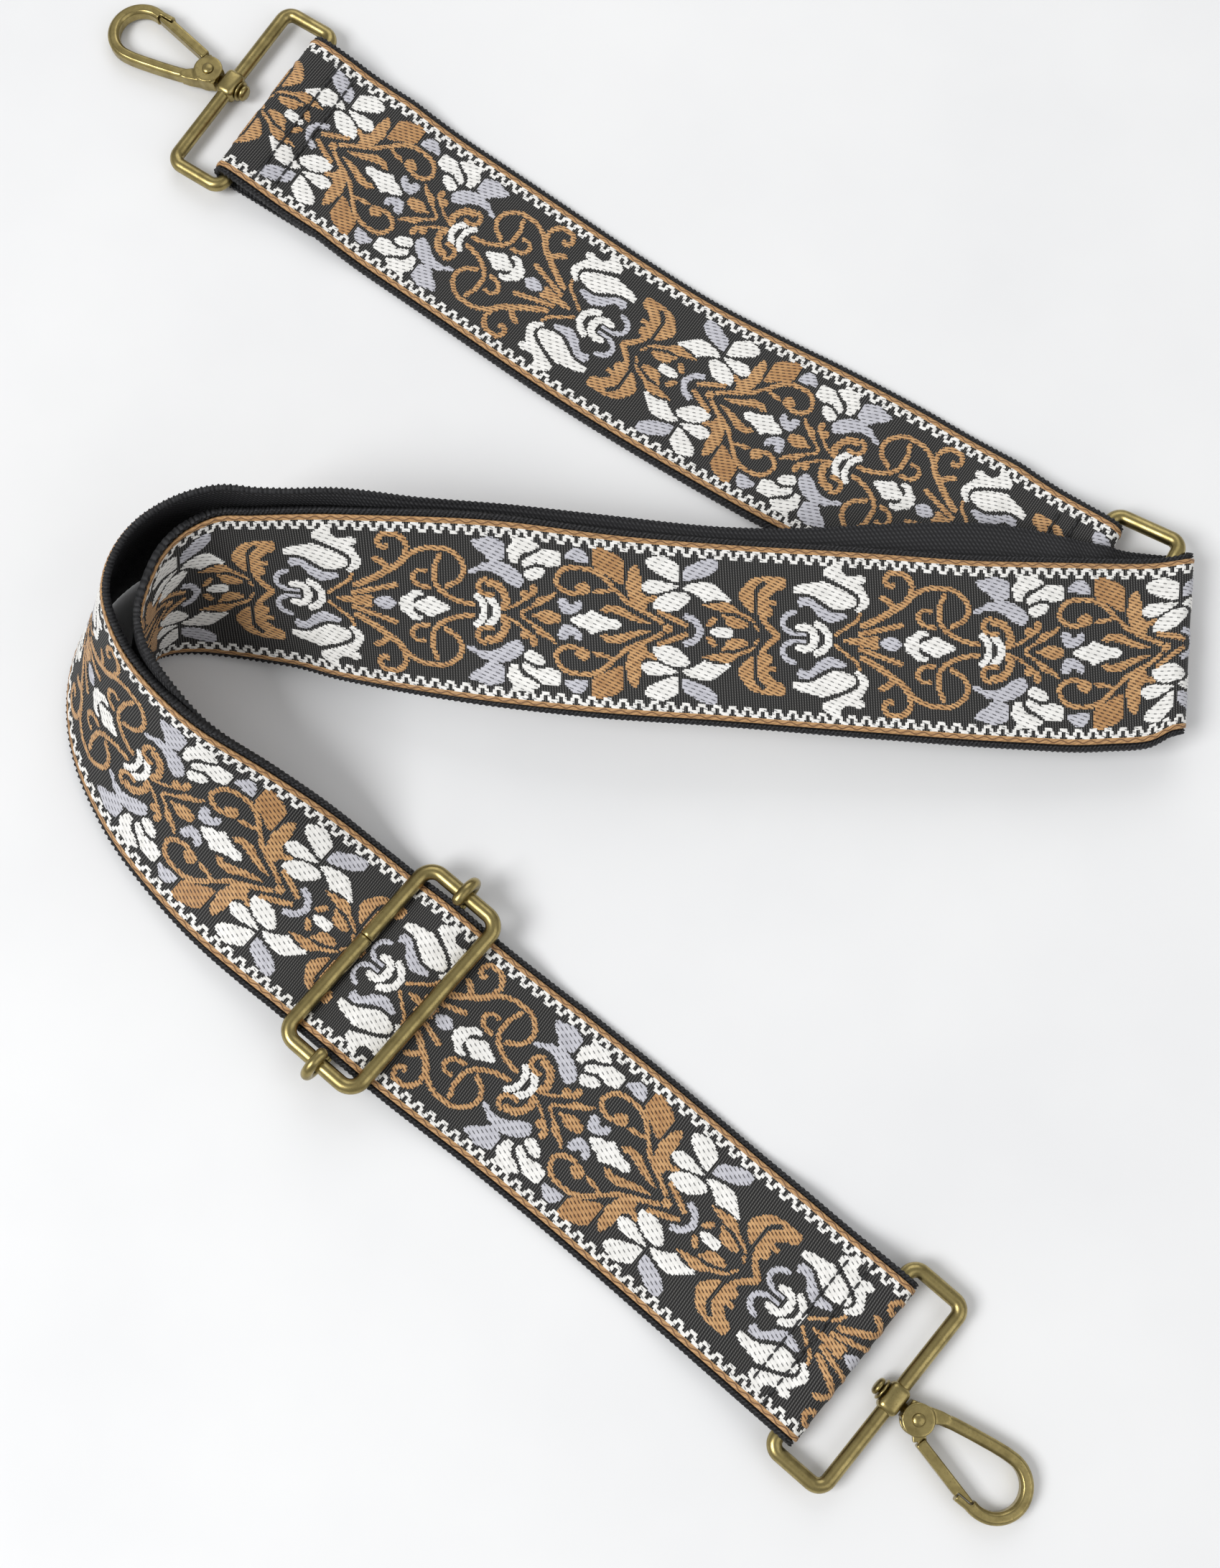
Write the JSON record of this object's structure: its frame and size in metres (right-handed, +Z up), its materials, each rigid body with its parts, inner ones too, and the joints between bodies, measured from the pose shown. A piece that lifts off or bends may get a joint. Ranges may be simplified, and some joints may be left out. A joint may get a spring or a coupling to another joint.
{
  "type": "detachable bag strap",
  "caption": "Wide woven bag strap with a patterned trim, lying folded, with a length slider, a rectangular joining ring and a swivel snap hook on a wire loop at each end.",
  "frame": {"origin": "middle of the bounding box's bottom face, on the table that the folded strap lies on", "axes": "+X along the strap's lower length toward hook 2, +Y across that length toward the joining ring, +Z up from the table"},
  "size_m": [0.4456, 0.2571, 0.0508],
  "materials": {
    "antique_brass": "antique, worn bright on its edges",
    "spring_steel": "bare",
    "black_webbing": "ribbed weave",
    "short_trim": "woven floral scroll trim",
    "long_trim": "woven floral scroll trim",
    "black_thread": "sewing thread"
  },
  "bodies": {
    "long_strap": {"long_webbing": "black_webbing", "long_jacquard": "long_trim", "seam_hook_2": "black_thread"},
    "slider": {"slider_frame": "antique_brass", "slider_center_bar": "antique_brass"},
    "ring": {"connector_ring": "antique_brass"},
    "short_strap": {"short_webbing": "black_webbing", "short_jacquard": "short_trim", "seam_hook_1": "black_thread", "seam_ring": "black_thread"},
    "loop_1": {"hook_1_loop": "antique_brass"},
    "hook_1": {"hook_1_body": "antique_brass", "hook_1_swivel_pin": "antique_brass", "hook_1_washer": "antique_brass", "hook_1_gate_rivet": "antique_brass", "hook_1_gate_spring": "spring_steel"},
    "gate_1": {"hook_1_gate": "antique_brass"},
    "loop_2": {"hook_2_loop": "antique_brass"},
    "hook_2": {"hook_2_body": "antique_brass", "hook_2_swivel_pin": "antique_brass", "hook_2_washer": "antique_brass", "hook_2_gate_rivet": "antique_brass", "hook_2_gate_spring": "spring_steel"},
    "gate_2": {"hook_2_gate": "antique_brass"}
  },
  "joints": [
    {"name": "slider_slide", "type": "slide", "parent": "long_strap", "child": "slider", "axis": [1, 0, 0], "range_m": [-0.005, 0.045], "deforming": ["long_webbing", "long_jacquard"]},
    {"name": "ring_on_long_strap", "type": "hinge", "parent": "long_strap", "child": "ring", "pos_m": [0.10855, 0.09868, 0.0081], "axis": [0.165, -0.9863, 0], "range_deg": [0, 60]},
    {"name": "short_strap_on_ring", "type": "hinge", "parent": "ring", "child": "short_strap", "pos_m": [0.08965, 0.09552, 0.0045], "axis": [0.165, -0.9863, 0], "range_deg": [0, 90]},
    {"name": "loop_1_on_strap", "type": "hinge", "parent": "short_strap", "child": "loop_1", "pos_m": [-0.1665, 0.0661, 0.00445], "axis": [0.1288, -0.9917, 0], "range_deg": [-110, 110]},
    {"name": "hook_1_swivel", "type": "hinge", "parent": "loop_1", "child": "hook_1", "pos_m": [-0.18235, 0.06404, 0.00381], "axis": [-0.9909, -0.1287, -0.0401], "continuous": true},
    {"name": "gate_1_hinge", "type": "hinge", "parent": "hook_1", "child": "gate_1", "pos_m": [-0.18979, 0.06308, 0.00351], "axis": [-0.0398, -0.0052, 0.9992], "range_deg": [0, 22], "stiffness_Nm_per_rad": 0.02, "springref_deg": -14.32},
    {"name": "loop_2_on_strap", "type": "hinge", "parent": "long_strap", "child": "loop_2", "pos_m": [0.1661, -0.0927, 0.00445], "axis": [0, 1, 0], "range_deg": [-110, 110]},
    {"name": "hook_2_swivel", "type": "hinge", "parent": "loop_2", "child": "hook_2", "pos_m": [0.18209, -0.0927, 0.00381], "axis": [0.9992, 0, -0.0401], "continuous": true},
    {"name": "gate_2_hinge", "type": "hinge", "parent": "hook_2", "child": "gate_2", "pos_m": [0.18958, -0.0927, 0.00351], "axis": [0.0401, 0, 0.9992], "range_deg": [0, 22], "stiffness_Nm_per_rad": 0.02, "springref_deg": -14.32}
  ]
}
